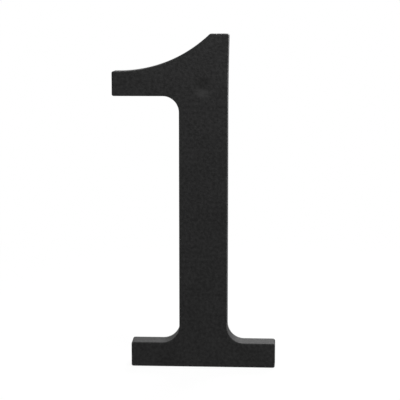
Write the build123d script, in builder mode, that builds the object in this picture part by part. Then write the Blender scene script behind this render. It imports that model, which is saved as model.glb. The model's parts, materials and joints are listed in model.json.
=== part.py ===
# House number 1: a solid light-alloy casting with a matt powder coat.
#
# A straight stem stands on a slab foot with rounded brackets. At the head a flag sweeps up to the
# top in one arc. Every side wall leans in a little towards the front, so that the casting leaves
# its mould. The back is flat against the wall, and two studs screw into blind tapped holes in it,
# so nothing shows from the front.
#
# Frame: millimetres, +Z up, the front faces -Y and the wall is at +Y. The origin is on the wall
# face, on the stem's centre line, midway between the stud holes and halfway up the numeral.
import os
from math import radians, tan

from build123d import *

# Driving dimensions, in millimetres and degrees. The outline is that of the wall face.
height = 127.0             # foot to top
thickness = 8.0            # wall face to front face
draft_angle = 1.5          # lean of the side walls
stem_width = 18.5
top_width = 6.8            # flat stretch at the head of the stem
foot_width = 55.4
foot_height = 9.8
foot_fillet = 6.4          # brackets between the stem and the foot
flag_reach = 34.4          # stem's centre line to the flag's end
flag_end_height = 9.6
flag_drop = 13.8           # top of the numeral down to the top of the flag's end
flag_flat = 2.3            # straight stretch before the flag's arc begins
flag_fillet = 5.9          # bracket under the flag
corner_radius = 0.9        # outer corners of the outline
front_edge_radius = 0.5
back_edge_break = 0.3
stud_spacing = 87.0
stud_diameter = 4.0        # thread's nominal diameter, and the hole's
stud_hole_depth = 5.5      # depth at full diameter
drill_point_angle = 118.0
mouth_chamfer = 0.4

# Levels and edges that the outline shares
top_z = height / 2
foot_z = -height / 2
foot_top_z = foot_z + foot_height
flag_top_z = top_z - flag_drop
flag_bottom_z = flag_top_z - flag_end_height
stem_x = stem_width / 2
foot_x = foot_width / 2

# Corners met on the way round from the head of the stem to the flag's end, with their radii
corners = [
    ((stem_x, top_z), corner_radius),
    ((stem_x, foot_top_z), foot_fillet),
    ((foot_x, foot_top_z), corner_radius),
    ((foot_x, foot_z), corner_radius),
    ((-foot_x, foot_z), corner_radius),
    ((-foot_x, foot_top_z), corner_radius),
    ((-stem_x, foot_top_z), foot_fillet),
    ((-stem_x, flag_bottom_z), flag_fillet),
    ((-flag_reach, flag_bottom_z), corner_radius),
    ((-flag_reach, flag_top_z), corner_radius),
]
arc_foot = (-flag_reach + flag_flat, flag_top_z)
arc_head = (stem_x - top_width, top_z)

stud_radius = stud_diameter / 2
drill_point_depth = stud_radius / tan(radians(drill_point_angle / 2))

os.makedirs("parts", exist_ok=True)

with BuildPart() as numeral:
    # The outline on the wall face, drawn as the reader sees it
    with BuildSketch(Plane.XZ):
        with BuildLine():
            FilletPolyline(
                arc_head,
                *[point for point, _ in corners],
                arc_foot,
                radius=[radius for _, radius in corners],
            )
            TangentArc(arc_foot, arc_head, tangent=(1, 0))
        make_face()
        fillet(vertices().group_by(Axis.Y)[-1].sort_by(Axis.X)[0], radius=corner_radius)
    extrude(amount=thickness)
    side_walls = faces().filter_by(Axis.Y, reverse=True)
    draft(side_walls, neutral_plane=Plane.XZ, angle=draft_angle)

    fillet(faces().sort_by(Axis.Y)[0].edges(), radius=front_edge_radius)
    chamfer(faces().sort_by(Axis.Y)[-1].edges(), length=back_edge_break)

    # Blind tapped holes in the back, with an eased mouth and a drill point at the bottom
    wall_face = Plane(origin=(0, 0, 0), x_dir=(-1, 0, 0), z_dir=(0, 1, 0))
    with Locations(wall_face):
        with GridLocations(0, stud_spacing, 1, 2):
            CounterSinkHole(
                radius=stud_radius,
                counter_sink_radius=stud_radius + mouth_chamfer,
                depth=stud_hole_depth,
                counter_sink_angle=90,
            )
    with Locations(wall_face.offset(-stud_hole_depth)):
        with GridLocations(0, stud_spacing, 1, 2):
            Cone(
                bottom_radius=stud_radius,
                top_radius=0,
                height=drill_point_depth,
                rotation=(180, 0, 0),
                align=(Align.CENTER, Align.CENTER, Align.MIN),
                mode=Mode.SUBTRACT,
            )

numeral.part.label = "numeral"
export_step(numeral.part, "parts/numeral.step")
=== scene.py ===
import json
import math

import bmesh
import bpy
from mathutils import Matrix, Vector


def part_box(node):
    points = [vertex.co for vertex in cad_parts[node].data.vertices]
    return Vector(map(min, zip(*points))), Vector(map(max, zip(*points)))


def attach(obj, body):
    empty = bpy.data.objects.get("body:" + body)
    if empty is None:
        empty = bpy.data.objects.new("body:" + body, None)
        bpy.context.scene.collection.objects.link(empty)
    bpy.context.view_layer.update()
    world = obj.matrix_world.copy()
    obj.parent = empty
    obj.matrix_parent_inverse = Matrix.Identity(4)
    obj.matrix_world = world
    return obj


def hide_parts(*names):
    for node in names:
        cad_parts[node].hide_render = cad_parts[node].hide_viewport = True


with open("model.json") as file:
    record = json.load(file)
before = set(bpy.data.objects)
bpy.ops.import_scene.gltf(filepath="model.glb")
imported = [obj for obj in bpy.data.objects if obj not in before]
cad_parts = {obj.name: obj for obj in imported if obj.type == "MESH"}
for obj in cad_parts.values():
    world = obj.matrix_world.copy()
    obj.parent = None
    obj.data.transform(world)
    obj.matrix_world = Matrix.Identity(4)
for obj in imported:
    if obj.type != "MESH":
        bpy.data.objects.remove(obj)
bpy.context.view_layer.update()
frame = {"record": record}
mm = 0.001
castLow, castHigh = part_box("numeral")
studHoles = next(mount for mount in frame["record"]["mounts"] if mount["name"] == "stud_holes")["dims"]
print("frame loaded, numeral box in mm:", [round(side / mm, 2) for side in castHigh - castLow])


# small helpers: an object in the scene, then node trees, shader and geometry alike

def addObject(name, data):
    made = bpy.data.objects.new(name, data)
    bpy.context.scene.collection.objects.link(made)
    return made


def feed(tree, socket, value):
    if isinstance(value, bpy.types.NodeSocket):
        tree.links.new(value, socket)
    else:
        socket.default_value = value


def addNode(tree, kind, feeds=None, **settings):
    made = tree.nodes.new(kind)
    for name, value in settings.items():
        setattr(made, name, value)
    for name, value in (feeds or {}).items():
        feed(tree, made.inputs[name], value)
    return made


def calc(tree, operation, *values, clamp=False):
    made = addNode(tree, "ShaderNodeMath", operation=operation, use_clamp=clamp)
    for socket, value in zip(made.inputs, values):
        feed(tree, socket, value)
    return made.outputs[0]


def ramp(tree, value, start, end, low=0.0, high=1.0, smooth=False):
    # low up to start, high from end on
    made = addNode(tree, "ShaderNodeMapRange", {
        "Value": value, "From Min": start, "From Max": end, "To Min": low, "To Max": high})
    made.interpolation_type = "SMOOTHSTEP" if smooth else "LINEAR"
    return made.outputs["Result"]


def mixOf(tree, kind, share, first, second):
    # a Mix node has sockets for every kind of value, and only those of its own kind are enabled
    made = addNode(tree, "ShaderNodeMix", {"Factor": share}, data_type=kind)
    ends = [socket for socket in made.inputs if socket.enabled and socket.name in ("A", "B")]
    for socket, value in zip(ends, (first, second)):
        feed(tree, socket, value)
    return next(socket for socket in made.outputs if socket.enabled)


def point(tree, x=0.0, y=0.0, z=0.0):
    return addNode(tree, "ShaderNodeCombineXYZ", {"X": x, "Y": y, "Z": z}).outputs[0]


def moved(tree, part, **place):
    return addNode(tree, "GeometryNodeTransform", {
        "Geometry": part, "Translation": point(tree, **place)}).outputs[0]


def joined(tree, *parts):
    made = addNode(tree, "GeometryNodeJoinGeometry")
    for part in parts:
        tree.links.new(part, made.inputs[0])
    return made.outputs[0]


def geometryTree(name, shapeIn, shapeOut, sizes):
    # a tree with one geometry input (or none), a named input for each size, and one geometry output
    tree = bpy.data.node_groups.new(name, "GeometryNodeTree")
    if shapeIn:
        tree.interface.new_socket(shapeIn, in_out="INPUT", socket_type="NodeSocketGeometry")
    for label, size in sizes.items():
        kind = "NodeSocketInt" if isinstance(size, int) else "NodeSocketFloat"
        tree.interface.new_socket(label, in_out="INPUT", socket_type=kind).default_value = size
    tree.interface.new_socket(shapeOut, in_out="OUTPUT", socket_type="NodeSocketGeometry")
    given = {socket.name: socket for socket in tree.nodes.new("NodeGroupInput").outputs}
    return tree, given, tree.nodes.new("NodeGroupOutput").inputs[shapeOut]


# powder coat

coatLook = {
    "black": (0.0056, 0.0056, 0.0056),
    "blackPale": (0.0168, 0.0168, 0.0168),  # the pale grains
    "grainSize": 1.15 * mm,
    "grainHeight": 0.19 * mm,
    "grainDetail": 3.0,
    "grainFineness": 0.6,  # share of the finer grains within the coarse ones
    "grainSpan": (0.38, 0.62),  # noise levels that make the blackest and the palest grains
    "patchSize": 9.0 * mm,
    "patchDetail": 2.0,
    "patchFineness": 0.5,
    "patchShare": 0.2,  # how much broad patches count beside the grains
    "paintedHighlightPale": 0.45,  # how far the painted highlight on the sink dish's upward-facing slope goes towards the pale grains
    "roughness": (0.63, 0.73),  # of the blackest and the palest grains
    "ior": 1.25,
    "bareMetal": (0.58, 0.58, 0.59),
    "bareRoughness": 0.32,
}


def noise(tree, place, size, detail, fineness):
    return addNode(tree, "ShaderNodeTexNoise", {
        "Vector": place, "Scale": 1 / size, "Detail": detail, "Roughness": fineness}).outputs["Fac"]


def attribute(tree, name):
    return addNode(tree, "ShaderNodeAttribute", attribute_name=name).outputs["Fac"]


def powderCoat(look):
    material = bpy.data.materials.new("powderCoat")
    material.use_nodes = True
    tree = material.node_tree
    shader = tree.nodes["Principled BSDF"]
    shader.inputs["IOR"].default_value = look["ior"]
    place = addNode(tree, "ShaderNodeTexCoord").outputs["Object"]
    grain = noise(tree, place, look["grainSize"], look["grainDetail"], look["grainFineness"])
    patch = noise(tree, place, look["patchSize"], look["patchDetail"], look["patchFineness"])
    tone = ramp(tree, mixOf(tree, "FLOAT", look["patchShare"], grain, patch), *look["grainSpan"])
    # painted highlight: the sink dish's upward-facing lower slope is made paler, as if lit from above
    tone = calc(tree, "ADD", tone, calc(tree, "MULTIPLY", attribute(tree, "paintedHighlight"), look["paintedHighlightPale"]))
    coatColour = mixOf(tree, "RGBA", tone, (*look["black"], 1.0), (*look["blackPale"], 1.0))
    coatRough = ramp(tree, tone, 0.0, 1.0, *look["roughness"])
    # the holes were plugged when the numeral was coated, so they are bare metal
    bare = attribute(tree, "tapped")
    relief = calc(tree, "MULTIPLY", grain, calc(tree, "SUBTRACT", 1.0, bare))
    bump = addNode(tree, "ShaderNodeBump", {"Height": relief, "Distance": look["grainHeight"]})
    surface = {
        "Base Color": mixOf(tree, "RGBA", bare, coatColour, (*look["bareMetal"], 1.0)),
        "Roughness": mixOf(tree, "FLOAT", bare, coatRough, look["bareRoughness"]),
        "Metallic": bare,
        "Normal": bump.outputs["Normal"],
    }
    for name, value in surface.items():
        feed(tree, shader.inputs[name], value)
    print("powder coat ready")
    return material


# tapped stud hole: mouth, threaded wall and drill point, opening at z = 0 and going up

hole = {
    "Radius": studHoles["hole_r_mm"] * mm,
    "Mouth": 0.4 * mm,
    "Depth": 5.5 * mm,
    "Point Angle": math.radians(118.0),
    "Point Rings": 6,
    "Pitch": 0.7 * mm,
    "Thread Height": 0.38 * mm,
    "Root Flat": 1 / 8,  # the thread's flats, as shares of its pitch
    "Crest Flat": 1 / 4,
    "Sides": 64,
    "Rows": 112,
}


def tappedHoleTree():
    tree, given, out = geometryTree("tappedHole", None, "Hole", hole)
    mouth = addNode(tree, "GeometryNodeMeshCone", {
        "Vertices": given["Sides"], "Radius Bottom": calc(tree, "ADD", given["Radius"], given["Mouth"]),
        "Radius Top": given["Radius"], "Depth": given["Mouth"]}, fill_type="NONE").outputs["Mesh"]
    halfAngle = calc(tree, "MULTIPLY", given["Point Angle"], 0.5)
    drillPoint = addNode(tree, "GeometryNodeMeshCone", {
        "Vertices": given["Sides"], "Side Segments": given["Point Rings"],
        "Radius Bottom": given["Radius"], "Radius Top": 0.0,
        "Depth": calc(tree, "DIVIDE", given["Radius"], calc(tree, "TANGENT", halfAngle))},
        fill_type="NONE").outputs["Mesh"]
    drillPoint = moved(tree, drillPoint, z=given["Depth"])
    wall = addNode(tree, "GeometryNodeMeshCylinder", {
        "Vertices": given["Sides"], "Side Segments": given["Rows"], "Radius": given["Radius"],
        "Depth": calc(tree, "SUBTRACT", given["Depth"], given["Mouth"])},
        fill_type="NONE").outputs["Mesh"]
    middle = calc(tree, "MULTIPLY", calc(tree, "ADD", given["Depth"], given["Mouth"]), 0.5)
    wall = moved(tree, wall, z=middle)
    # right-hand thread: the ridge climbs one pitch each turn
    here = addNode(tree, "GeometryNodeInputPosition").outputs[0]
    spot = addNode(tree, "ShaderNodeSeparateXYZ", {"Vector": here}).outputs
    turn = calc(tree, "DIVIDE", calc(tree, "ARCTAN2", spot["Y"], spot["X"]), math.tau)
    phase = calc(tree, "SUBTRACT", calc(tree, "DIVIDE", spot["Z"], given["Pitch"]), turn)
    rootEnd = calc(tree, "MULTIPLY", given["Root Flat"], 0.5)
    crestStart = calc(tree, "SUBTRACT", 0.5, calc(tree, "MULTIPLY", given["Crest Flat"], 0.5))
    flank = ramp(tree, calc(tree, "PINGPONG", phase, 0.5), rootEnd, crestStart)
    # it runs in over the first turn and out over the last
    firstTurn = calc(tree, "ADD", given["Mouth"], given["Pitch"])
    lastTurn = calc(tree, "SUBTRACT", given["Depth"], given["Pitch"])
    runIn = ramp(tree, spot["Z"], given["Mouth"], firstTurn, smooth=True)
    runOut = ramp(tree, spot["Z"], given["Depth"], lastTurn, smooth=True)
    ridge = calc(tree, "MULTIPLY", calc(tree, "MULTIPLY", flank, given["Thread Height"]),
                 calc(tree, "MULTIPLY", runIn, runOut))
    shrink = calc(tree, "SUBTRACT", 1.0, calc(tree, "DIVIDE", ridge, given["Radius"]))
    threaded = addNode(tree, "GeometryNodeSetPosition", {
        "Geometry": wall,
        "Position": point(tree, calc(tree, "MULTIPLY", spot["X"], shrink),
                          calc(tree, "MULTIPLY", spot["Y"], shrink), spot["Z"])}).outputs[0]
    bare = addNode(tree, "GeometryNodeStoreNamedAttribute", {
        "Geometry": joined(tree, mouth, threaded, drillPoint), "Name": "tapped", "Value": 1.0},
        data_type="FLOAT", domain="FACE").outputs[0]
    tree.links.new(bare, out)
    return tree


# numeral: an outline swept by the section of its rim, filled front and back

shape = {  # the outline that the CAD box doesn't give
    "stemWidth": 18.5 * mm,
    "topWidth": 6.8 * mm,
    "footHeight": 9.8 * mm,
    "footFillet": 6.4 * mm,
    "flagEndHeight": 9.6 * mm,
    "flagDrop": 13.8 * mm,
    "flagFlat": 2.3 * mm,
    "flagFillet": 5.9 * mm,
    "cornerRadius": 0.9 * mm,
    "headFlare": 0.4 * mm,  # how far the stem's right edge swings out at the head
    "flareLength": 29.0 * mm,
    "arcStep": math.radians(7.5),
    "arcTrim": 0.4 * mm,  # what the corner at the head takes off the flag's arc
    "runStep": 1.5 * mm,
    "runSlack": 0.01,  # share of a step by which a run may be too long for its points
}


def rotated(spoke, angle):
    return Vector((spoke.x * math.cos(angle) - spoke.y * math.sin(angle),
                   spoke.x * math.sin(angle) + spoke.y * math.cos(angle)))


def roundCorner(before, corner, after, radius):
    # points of the arc that takes a corner off, tangent to both its sides
    inward, outward = (before - corner).normalized(), (after - corner).normalized()
    half = inward.angle(outward) / 2
    centre = corner + (inward + outward).normalized() * radius / math.sin(half)
    start = corner + inward * radius / math.tan(half) - centre
    end = corner + outward * radius / math.tan(half) - centre
    sweep = start.angle_signed(end)
    count = max(2, math.ceil(abs(sweep) / shape["arcStep"]))
    return [centre + rotated(start, -sweep * i / count) for i in range(count + 1)]


def evenRuns(points):
    # long straight runs get points of their own
    spread = []
    for here, there in zip(points, points[1:] + points[:1]):
        count = max(1, math.ceil((there - here).length / shape["runStep"] - shape["runSlack"]))
        spread += [here.lerp(there, i / count) for i in range(count)]
    return spread


def flareHead(points):
    # the head's flat stretch lengthens with the edge that swings out
    flatX = shape["stemWidth"] / 2 - shape["topWidth"]
    for spot in points:
        rise = max(0.0, 1 - (castHigh.z - spot.y) / shape["flareLength"])
        reach = max(0.0, (spot.x - flatX) / shape["topWidth"])
        spot.x += shape["headFlare"] * rise ** 2 * reach
    return points


def numeralOutline():
    # clockwise from the head of the stem, in the plane of the front view
    stemX, footX, flagX = shape["stemWidth"] / 2, castHigh.x, castLow.x
    topZ, bottomZ = castHigh.z, castLow.z
    footTopZ = bottomZ + shape["footHeight"]
    flagTopZ = topZ - shape["flagDrop"]
    flagLowZ = flagTopZ - shape["flagEndHeight"]
    sharp, foot, flag = shape["cornerRadius"], shape["footFillet"], shape["flagFillet"]
    arcFoot = Vector((flagX + shape["flagFlat"], flagTopZ))
    arcHead = Vector((stemX - shape["topWidth"], topZ))
    rise = arcHead - arcFoot
    arcRadius = rise.length_squared / (2 * rise.y)
    arcSweep = math.asin(rise.x / arcRadius)
    headTangent = Vector((math.cos(arcSweep), math.sin(arcSweep)))
    corners = [
        (arcHead, sharp),
        (Vector((stemX, topZ)), sharp),
        (Vector((stemX, footTopZ)), foot),
        (Vector((footX, footTopZ)), sharp),
        (Vector((footX, bottomZ)), sharp),
        (Vector((-footX, bottomZ)), sharp),
        (Vector((-footX, footTopZ)), sharp),
        (Vector((-stemX, footTopZ)), foot),
        (Vector((-stemX, flagLowZ)), flag),
        (Vector((flagX, flagLowZ)), sharp),
        (Vector((flagX, flagTopZ)), sharp),
    ]
    path = [arcHead - headTangent * arcRadius] + [corner for corner, radius in corners] + [arcFoot]
    points = []
    for i, (corner, radius) in enumerate(corners, 1):
        points += roundCorner(path[i - 1], corner, path[i + 1], radius)
    # the flag's arc closes the outline
    arcCentre = arcFoot + Vector((0, arcRadius))
    arcEnd = arcSweep - shape["arcTrim"] / arcRadius
    arcCount = math.ceil(arcRadius * arcSweep / shape["runStep"])
    lowest = Vector((0, -arcRadius))
    points += [arcCentre + rotated(lowest, arcEnd * i / arcCount) for i in range(arcCount)]
    return flareHead(evenRuns(points))


def outlineCurve(points):
    data = bpy.data.curves.new("numeralOutline", "CURVE")
    data.dimensions = "3D"
    data.twist_mode = "Z_UP"
    spline = data.splines.new("POLY")
    spline.points.add(len(points) - 1)
    for made, spot in zip(spline.points, points):
        made.co = (spot.x, spot.y, 0.0, 1.0)
    spline.use_cyclic_u = True
    return addObject("numeralOutline", data)


cast = {
    "Thickness": castHigh.y - castLow.y,
    "Draft": math.radians(1.5),
    "Edge Radius": 0.5 * mm,
    "Edge Steps": 8,
    "Back Break": 0.3 * mm,
    "Lip": 0.12 * mm,  # flat border that keeps the shading of the faces level
    "Sink Height": 43.5 * mm,
    "Sink Radius": 4.2 * mm,
    "Sink Depth": 0.6 * mm,
    "Sink Rings": 20,
    "Sink Sides": 64,
    "Stud Count": studHoles["count"],
    "Stud Spacing": studHoles["spacing_y_mm"] * mm,
    "Merge Distance": 0.002 * mm,
}
creaseAngle = math.radians(32.0)  # folds sharper than this stay crisp


def rimSection(tree, given):
    # x points into the numeral and y from the front to the wall, as the sweep wants them
    sinDraft, cosDraft = calc(tree, "SINE", given["Draft"]), calc(tree, "COSINE", given["Draft"])
    radius, lip, bevel = given["Edge Radius"], given["Lip"], given["Back Break"]
    centreY = calc(tree, "SUBTRACT", given["Thickness"], radius)
    lean = calc(tree, "MULTIPLY", calc(tree, "SUBTRACT", centreY, bevel), sinDraft)
    centreX = calc(tree, "DIVIDE", calc(tree, "ADD", radius, lean), cosDraft)
    frontInset = calc(tree, "ADD", centreX, lip)
    backInset = calc(tree, "ADD", bevel, lip)

    def line(fromX, fromY, toX, toY):
        down = [calc(tree, "MULTIPLY", y, -1.0) for y in (fromY, toY)]
        return addNode(tree, "GeometryNodeCurvePrimitiveLine", {
            "Start": point(tree, fromX, down[0]), "End": point(tree, toX, down[1])}).outputs[0]

    wallX = calc(tree, "SUBTRACT", centreX, calc(tree, "MULTIPLY", radius, cosDraft))
    wallY = calc(tree, "ADD", centreY, calc(tree, "MULTIPLY", radius, sinDraft))
    nearX = calc(tree, "SUBTRACT", wallX, calc(tree, "MULTIPLY", lip, sinDraft))
    nearY = calc(tree, "SUBTRACT", wallY, calc(tree, "MULTIPLY", lip, cosDraft))
    rounding = addNode(tree, "GeometryNodeCurveArc", {
        "Resolution": calc(tree, "ADD", given["Edge Steps"], 1.0), "Radius": radius,
        "Start Angle": calc(tree, "ADD", math.pi, given["Draft"]),
        "Sweep Angle": calc(tree, "SUBTRACT", math.pi / 2, given["Draft"])}, mode="RADIUS").outputs[0]
    rounding = moved(tree, rounding, x=centreX, y=calc(tree, "MULTIPLY", centreY, -1.0))
    section = joined(
        tree,
        line(backInset, 0.0, bevel, 0.0),
        line(bevel, 0.0, 0.0, bevel),
        line(0.0, bevel, nearX, nearY),
        line(nearX, nearY, wallX, wallY),
        rounding,
        line(centreX, given["Thickness"], frontInset, given["Thickness"]),
    )
    return section, frontInset, backInset


def sinkMark(tree, given):
    dish = addNode(tree, "GeometryNodeMeshCone", {
        "Vertices": given["Sink Sides"], "Side Segments": given["Sink Rings"], "Radius Top": 0.0,
        "Radius Bottom": given["Sink Radius"], "Depth": 0.0}, fill_type="NONE").outputs["Mesh"]
    here = addNode(tree, "GeometryNodeInputPosition").outputs[0]
    away = addNode(tree, "ShaderNodeVectorMath", {0: here}, operation="LENGTH").outputs["Value"]
    share = calc(tree, "POWER", calc(tree, "DIVIDE", away, given["Sink Radius"]), 2.0)
    inside = calc(tree, "SUBTRACT", 1.0, share, clamp=True)
    # the dish's lower slope, which faces up, is painted a little paler: a painted highlight standing in
    # for light from above
    below = calc(tree, "DIVIDE", addNode(tree, "ShaderNodeSeparateXYZ", {"Vector": here}).outputs["Y"],
                 calc(tree, "MULTIPLY", given["Sink Radius"], -1.0), clamp=True)
    slope = calc(tree, "MULTIPLY", below, inside)
    steepest = 2 / 3 / math.sqrt(3)  # the most that below * inside comes to
    dish = addNode(tree, "GeometryNodeStoreNamedAttribute", {
        "Geometry": dish, "Name": "paintedHighlight", "Value": calc(tree, "DIVIDE", slope, steepest)},
        data_type="FLOAT", domain="POINT").outputs[0]
    drop = calc(tree, "MULTIPLY", calc(tree, "POWER", inside, 2.0), given["Sink Depth"])
    dish = addNode(tree, "GeometryNodeSetPosition", {
        "Geometry": dish, "Offset": point(tree, z=calc(tree, "MULTIPLY", drop, -1.0))}).outputs[0]
    return moved(tree, dish, y=given["Sink Height"], z=given["Thickness"])


def numeralTree(holeTree, material):
    tree, given, out = geometryTree("castNumeral", "Outline", "Numeral", cast)
    section, frontInset, backInset = rimSection(tree, given)
    rim = addNode(tree, "GeometryNodeCurveToMesh", {
        "Curve": given["Outline"], "Profile Curve": section}).outputs[0]
    normal = addNode(tree, "GeometryNodeInputNormal").outputs["Normal"]

    def inset(distance):
        shift = addNode(tree, "ShaderNodeVectorMath", {0: normal, "Scale": distance}, operation="SCALE")
        return addNode(tree, "GeometryNodeSetPosition", {
            "Geometry": given["Outline"], "Offset": shift.outputs[0]}).outputs[0]

    def ring(sides, radius):
        return addNode(tree, "GeometryNodeCurvePrimitiveCircle", {
            "Resolution": sides, "Radius": radius}, mode="RADIUS").outputs[0]

    def filled(*curves):
        return addNode(tree, "GeometryNodeFillCurve", {
            "Curve": joined(tree, *curves)}, mode="TRIANGLES").outputs[0]

    # front face, with the shallow sink mark that the metal draws in opposite the upper hole
    sinkRing = moved(tree, ring(given["Sink Sides"], given["Sink Radius"]), y=given["Sink Height"])
    front = moved(tree, filled(inset(frontInset), sinkRing), z=given["Thickness"])
    dish = sinkMark(tree, given)

    # back face with its tapped holes, in a row about the middle
    stepsDown = calc(tree, "MULTIPLY", calc(tree, "SUBTRACT", given["Stud Count"], 1.0), -0.5)
    lowestStud = calc(tree, "MULTIPLY", given["Stud Spacing"], stepsDown)
    studLine = addNode(tree, "GeometryNodeMeshLine", {
        "Count": given["Stud Count"], "Start Location": point(tree, y=lowestStud),
        "Offset": point(tree, y=given["Stud Spacing"])}).outputs[0]
    lining = addNode(tree, "GeometryNodeGroup", node_tree=holeTree).outputs[0]
    mouthRing = ring(hole["Sides"], hole["Radius"] + hole["Mouth"])

    def atStuds(part):
        placed = addNode(tree, "GeometryNodeInstanceOnPoints", {"Points": studLine, "Instance": part})
        return addNode(tree, "GeometryNodeRealizeInstances", {"Geometry": placed.outputs[0]}).outputs[0]

    back = filled(inset(backInset), atStuds(mouthRing))
    whole = addNode(tree, "GeometryNodeMergeByDistance", {
        "Geometry": joined(tree, rim, front, dish, back, atStuds(lining)),
        "Distance": given["Merge Distance"]}).outputs[0]
    upright = addNode(tree, "GeometryNodeTransform", {
        "Geometry": whole, "Rotation": (math.pi / 2, 0.0, 0.0)}).outputs[0]
    smooth = addNode(tree, "GeometryNodeSetShadeSmooth", {"Geometry": upright}).outputs[0]
    real = addNode(tree, "GeometryNodeRealizeInstances", {"Geometry": smooth}).outputs[0]
    coated = addNode(tree, "GeometryNodeSetMaterial", {"Geometry": real, "Material": material})
    tree.links.new(coated.outputs[0], out)
    return tree


def faceOutwards(mesh):
    work = bmesh.new()
    work.from_mesh(mesh)
    bmesh.ops.recalc_face_normals(work, faces=work.faces)
    openEdges = sum(not edge.is_manifold for edge in work.edges)
    work.to_mesh(mesh)
    work.free()
    print("numeral mesh:", len(mesh.polygons), "faces,", openEdges, "open edges")


def buildNumeral(material):
    outline = outlineCurve(numeralOutline())
    tree = numeralTree(tappedHoleTree(), material)
    modifier = outline.modifiers.new("castNumeral", "NODES")
    modifier.node_group = tree
    for socket in tree.interface.items_tree:
        if socket.in_out == "INPUT" and socket.name in cast:
            modifier[socket.identifier] = cast[socket.name]
    evaluated = outline.evaluated_get(bpy.context.evaluated_depsgraph_get())
    mesh = bpy.data.meshes.new_from_object(evaluated)
    mesh.name = "numeral_coated"
    bpy.data.objects.remove(outline)
    faceOutwards(mesh)
    mesh.set_sharp_from_angle(angle=creaseAngle)
    numeral = addObject("numeral_coated", mesh)
    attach(numeral, "root")
    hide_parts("numeral")


buildNumeral(powderCoat(coatLook))


# studio: white floor and world, a soft key above the front and a softbox behind for the top faces

studio = {
    "floorSize": 6.0,
    "floorColour": (0.82, 0.82, 0.82),
    "floorRoughness": 0.9,
    "floorShadow": 0.08,  # share of the floor's own shading that the camera sees beside the object
    "shadowReach": (0.05, 0.30),  # that share fades out between these distances
    "worldLight": 0.33,
    "keyPlace": (0.040, -0.085, 0.250),
    "keySize": 0.12,
    "keyPower": 0.88,
    "backPlace": (0.090, 0.335, 0.200),
    "backSize": 0.25,
    "backPower": 1.52,
}
white = {"Color": (1.0, 1.0, 1.0, 1.0), "Strength": 1.0}


def seenDirectly(tree):
    # 1 for camera rays and for what polished surfaces and glass show
    path = addNode(tree, "ShaderNodeLightPath").outputs
    either = calc(tree, "ADD", path["Is Camera Ray"], path["Is Glossy Ray"], clamp=True)
    return calc(tree, "ADD", either, path["Is Transmission Ray"], clamp=True)


def mixedShader(tree, share, first, second):
    return addNode(tree, "ShaderNodeMixShader", {
        "Fac": share, 1: first.outputs[0], 2: second.outputs[0]}).outputs[0]


def buildWorld():
    world = bpy.data.worlds.new("studioWorld")
    world.use_nodes = True
    tree = world.node_tree
    lighting = tree.nodes["Background"]
    lighting.inputs["Color"].default_value = white["Color"]
    lighting.inputs["Strength"].default_value = studio["worldLight"]
    seen = addNode(tree, "ShaderNodeBackground", white)
    mixed = mixedShader(tree, seenDirectly(tree), lighting, seen)
    tree.links.new(mixed, tree.nodes["World Output"].inputs["Surface"])
    bpy.context.scene.world = world


def floorPaper():
    material = bpy.data.materials.new("floorPaper")
    material.use_nodes = True
    tree = material.node_tree
    paper = tree.nodes["Principled BSDF"]
    paper.inputs["Base Color"].default_value = (*studio["floorColour"], 1.0)
    paper.inputs["Roughness"].default_value = studio["floorRoughness"]
    seen = addNode(tree, "ShaderNodeEmission", white)
    place = addNode(tree, "ShaderNodeTexCoord").outputs["Object"]
    away = addNode(tree, "ShaderNodeVectorMath", {0: place}, operation="LENGTH").outputs["Value"]
    plain = ramp(tree, away, *studio["shadowReach"], low=1.0 - studio["floorShadow"], smooth=True)
    mixed = mixedShader(tree, calc(tree, "MULTIPLY", seenDirectly(tree), plain), paper, seen)
    tree.links.new(mixed, tree.nodes["Material Output"].inputs["Surface"])
    return material


def buildFloor():
    half = studio["floorSize"] / 2
    corners = [(x * half, y * half, castLow.z) for x, y in ((-1, -1), (1, -1), (1, 1), (-1, 1))]
    mesh = bpy.data.meshes.new("floor")
    mesh.from_pydata(corners, [], [(0, 1, 2, 3)])
    mesh.materials.append(floorPaper())
    addObject("floor", mesh)


def addSoftbox(name, place, size, power):
    data = bpy.data.lights.new(name, "AREA")
    data.shape = "SQUARE"
    data.size = size
    data.energy = power
    box = addObject(name, data)
    box.location = place
    box.rotation_euler = (-Vector(place)).to_track_quat("-Z", "Y").to_euler()
    box.visible_camera = False


buildWorld()
buildFloor()
for lamp in ("key", "back"):
    addSoftbox(lamp + "Softbox", studio[lamp + "Place"], studio[lamp + "Size"], studio[lamp + "Power"])
print("studio ready")


# camera: a long lens, a little to the right and above

view = {
    "lens": 102.25,
    "sensor": 36.0,
    "clipStart": 0.01,
    "place": (22.340 * mm, -431.085 * mm, 58.421 * mm),
    "lookDown": math.radians(7.6665),
    "lookLeft": math.radians(3.1721),
}


def addCamera():
    data = bpy.data.cameras.new("camera")
    data.lens = view["lens"]
    data.sensor_width = view["sensor"]
    data.clip_start = view["clipStart"]
    camera = addObject("camera", data)
    camera.location = view["place"]
    camera.rotation_euler = (math.pi / 2 - view["lookDown"], 0.0, view["lookLeft"])
    bpy.context.scene.camera = camera


addCamera()
bpy.context.scene.view_settings.view_transform = "Standard"
print("camera ready")
